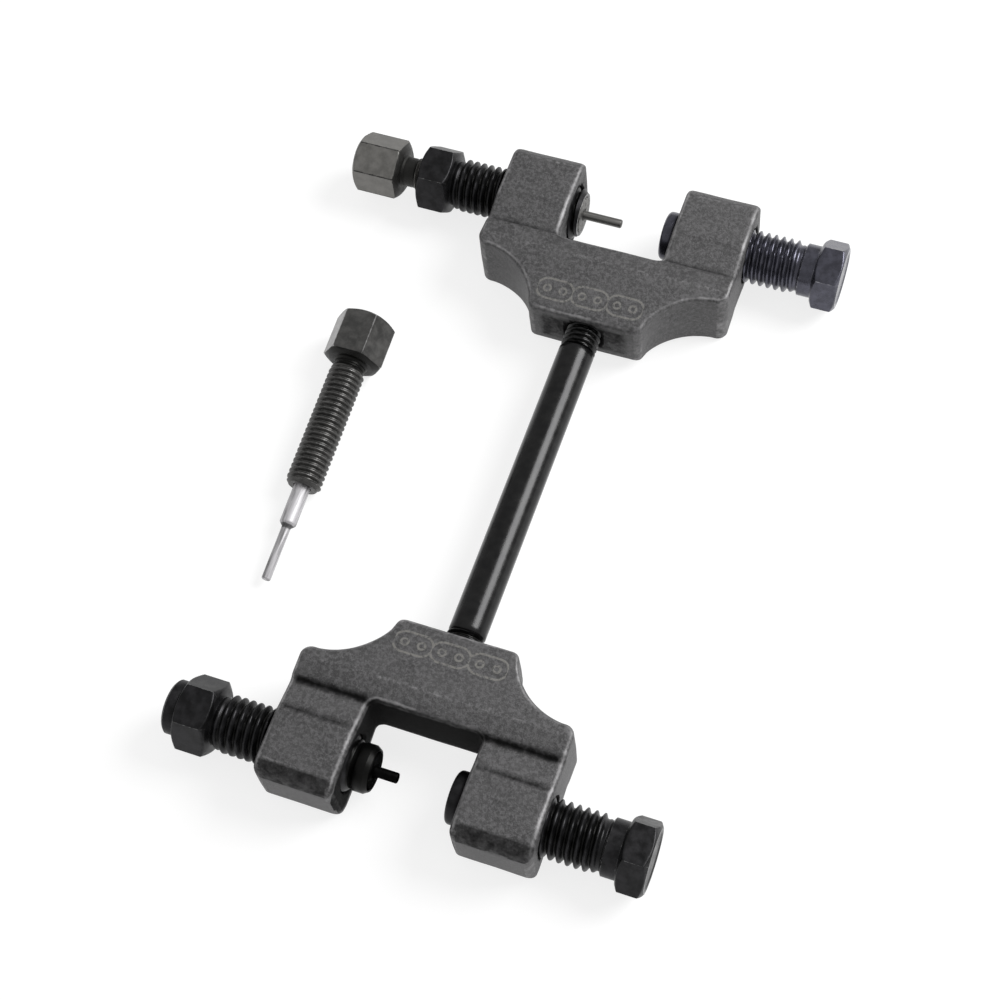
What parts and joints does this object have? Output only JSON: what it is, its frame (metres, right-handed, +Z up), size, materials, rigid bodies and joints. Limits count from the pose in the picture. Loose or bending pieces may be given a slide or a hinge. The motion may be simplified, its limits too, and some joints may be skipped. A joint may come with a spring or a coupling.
{
  "type": "chain tool",
  "caption": "Double-ended chain breaker: two forged U-shaped yokes on a rod, with hollow screws, hex-headed pin screws and anvil screws, and a spare pin screw beside it.",
  "frame": {"origin": "middle of the object's footprint, spare pin screw included, on the surface that it lies on", "axes": "+Y along the tie rod towards the upper yoke, +X along the screws from pin to anvil, +Z up"},
  "size_m": [0.1154, 0.158, 0.017],
  "materials": {
    "forged_steel": "blackened forged steel, rough, worn bright on the edges",
    "black_rod": "black, semi-gloss",
    "black_oxide": "black oxide, oily satin",
    "blue_black_oxide": "blue-black oxide, satin",
    "grey_steel": "grey phosphated steel, satin",
    "spare_steel": "dark grey oxide, satin",
    "dark_steel": "hardened, dark",
    "bright_steel": "ground bright steel"
  },
  "bodies": {
    "frame": {"yoke_upper": "forged_steel", "yoke_lower": "forged_steel", "tie_rod": "black_rod"},
    "upper_bush": {"upper_guide_bush": "bright_steel"},
    "upper_hollow": {"upper_hollow_screw": "black_oxide"},
    "upper_pin_body": {"upper_pin": "bright_steel"},
    "upper_pin_head": {"upper_pin_screw": "grey_steel"},
    "upper_pad": {"upper_anvil_pad": "dark_steel"},
    "upper_anvil": {"upper_anvil_screw": "blue_black_oxide"},
    "lower_bush": {"lower_guide_bush": "dark_steel"},
    "lower_hollow": {"lower_hollow_screw": "black_oxide"},
    "lower_pin_body": {"lower_pin": "dark_steel"},
    "lower_pin_head": {"lower_pin_screw": "black_oxide"},
    "lower_pad": {"lower_anvil_pad": "dark_steel"},
    "lower_anvil": {"lower_anvil_screw": "black_oxide"},
    "spare": {"spare_pin_screw": "spare_steel", "spare_pin": "bright_steel"}
  },
  "joints": [
    {"name": "upper_hollow_feed", "type": "slide", "parent": "frame", "child": "upper_bush", "axis": [1, 0, 0], "range_m": [-0.008, 0.004]},
    {"name": "upper_hollow_turn", "type": "hinge", "parent": "upper_bush", "child": "upper_hollow", "pos_m": [0, 0.06925, 0.0085], "axis": [1, 0, 0], "range_deg": [-1646, 823]},
    {"name": "upper_pin_feed", "type": "slide", "parent": "upper_hollow", "child": "upper_pin_body", "axis": [1, 0, 0], "range_m": [-0.012, 0.0005]},
    {"name": "upper_pin_turn", "type": "hinge", "parent": "upper_pin_body", "child": "upper_pin_head", "pos_m": [0, 0.06925, 0.0085], "axis": [1, 0, 0], "range_deg": [-3457, 145]},
    {"name": "upper_anvil_feed", "type": "slide", "parent": "frame", "child": "upper_pad", "axis": [1, 0, 0], "range_m": [-0.004, 0.008]},
    {"name": "upper_anvil_turn", "type": "hinge", "parent": "upper_pad", "child": "upper_anvil", "pos_m": [0, 0.06925, 0.0085], "axis": [1, 0, 0], "range_deg": [-823, 1646]},
    {"name": "lower_hollow_feed", "type": "slide", "parent": "frame", "child": "lower_bush", "axis": [1, 0, 0], "range_m": [-0.008, 0.004]},
    {"name": "lower_hollow_turn", "type": "hinge", "parent": "lower_bush", "child": "lower_hollow", "pos_m": [0, -0.06925, 0.0085], "axis": [1, 0, 0], "range_deg": [-1646, 823]},
    {"name": "lower_pin_feed", "type": "slide", "parent": "lower_hollow", "child": "lower_pin_body", "axis": [1, 0, 0], "range_m": [-0.01, 0]},
    {"name": "lower_pin_turn", "type": "hinge", "parent": "lower_pin_body", "child": "lower_pin_head", "pos_m": [0, -0.06925, 0.0085], "axis": [1, 0, 0], "range_deg": [-2881, 0]},
    {"name": "lower_anvil_feed", "type": "slide", "parent": "frame", "child": "lower_pad", "axis": [1, 0, 0], "range_m": [-0.004, 0.008]},
    {"name": "lower_anvil_turn", "type": "hinge", "parent": "lower_pad", "child": "lower_anvil", "pos_m": [0, -0.06925, 0.0085], "axis": [1, 0, 0], "range_deg": [-823, 1646]},
    {"name": "spare_lift", "type": "slide", "parent": "frame", "child": "spare", "axis": [0, 0, 1], "range_m": [0, 0.05]}
  ],
  "couplings": [
    {"joint": "upper_hollow_turn", "follows": "upper_hollow_feed", "rad_per_m": 3590.4},
    {"joint": "upper_pin_turn", "follows": "upper_pin_feed", "rad_per_m": 5026.5},
    {"joint": "upper_anvil_turn", "follows": "upper_anvil_feed", "rad_per_m": 3590.4},
    {"joint": "lower_hollow_turn", "follows": "lower_hollow_feed", "rad_per_m": 3590.4},
    {"joint": "lower_pin_turn", "follows": "lower_pin_feed", "rad_per_m": 5026.5},
    {"joint": "lower_anvil_turn", "follows": "lower_anvil_feed", "rad_per_m": 3590.4}
  ]
}
